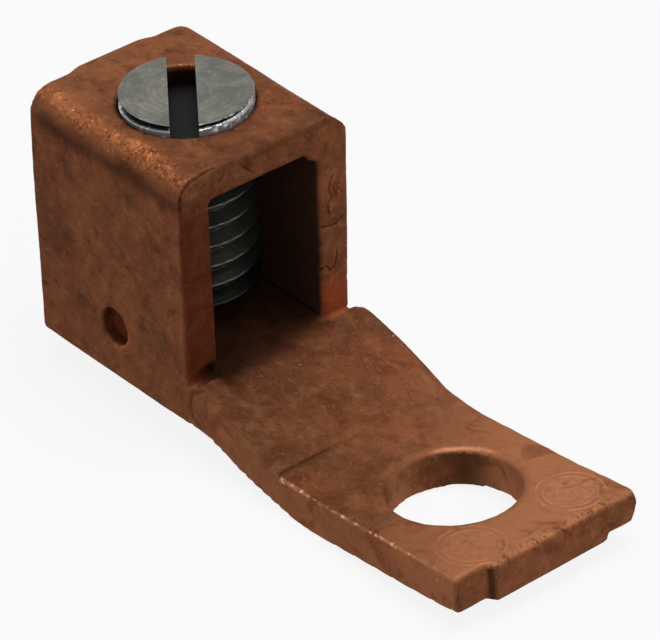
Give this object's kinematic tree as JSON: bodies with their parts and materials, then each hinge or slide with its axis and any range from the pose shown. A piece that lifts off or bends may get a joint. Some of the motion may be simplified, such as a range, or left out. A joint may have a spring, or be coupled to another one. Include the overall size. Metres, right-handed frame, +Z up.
{
  "type": "mechanical lug",
  "caption": "Copper cable lug with a square barrel, a slotted clamp screw through its roof and an offset tongue with a stud hole.",
  "frame": {"origin": "centre of the stud hole on the underside of the tongue's pad", "axes": "+X from the barrel to the tip of the tongue, +Y to the right of the barrel seen from its rear, +Z up along the clamp screw"},
  "size_m": [0.0443, 0.0153, 0.0222],
  "materials": {
    "copper": "oxidised, brown, worn bright at the edges",
    "zinc_plated_steel": "dull zinc plating with turning marks"
  },
  "bodies": {
    "lug": {"lug_body": "copper"},
    "screw": {"clamp_screw": "zinc_plated_steel"}
  },
  "joints": [
    {"name": "screw_travel", "type": "slide", "parent": "lug", "child": "screw", "axis": [0, 0, 1], "range_m": [-0.00135, 0.0123]}
  ]
}
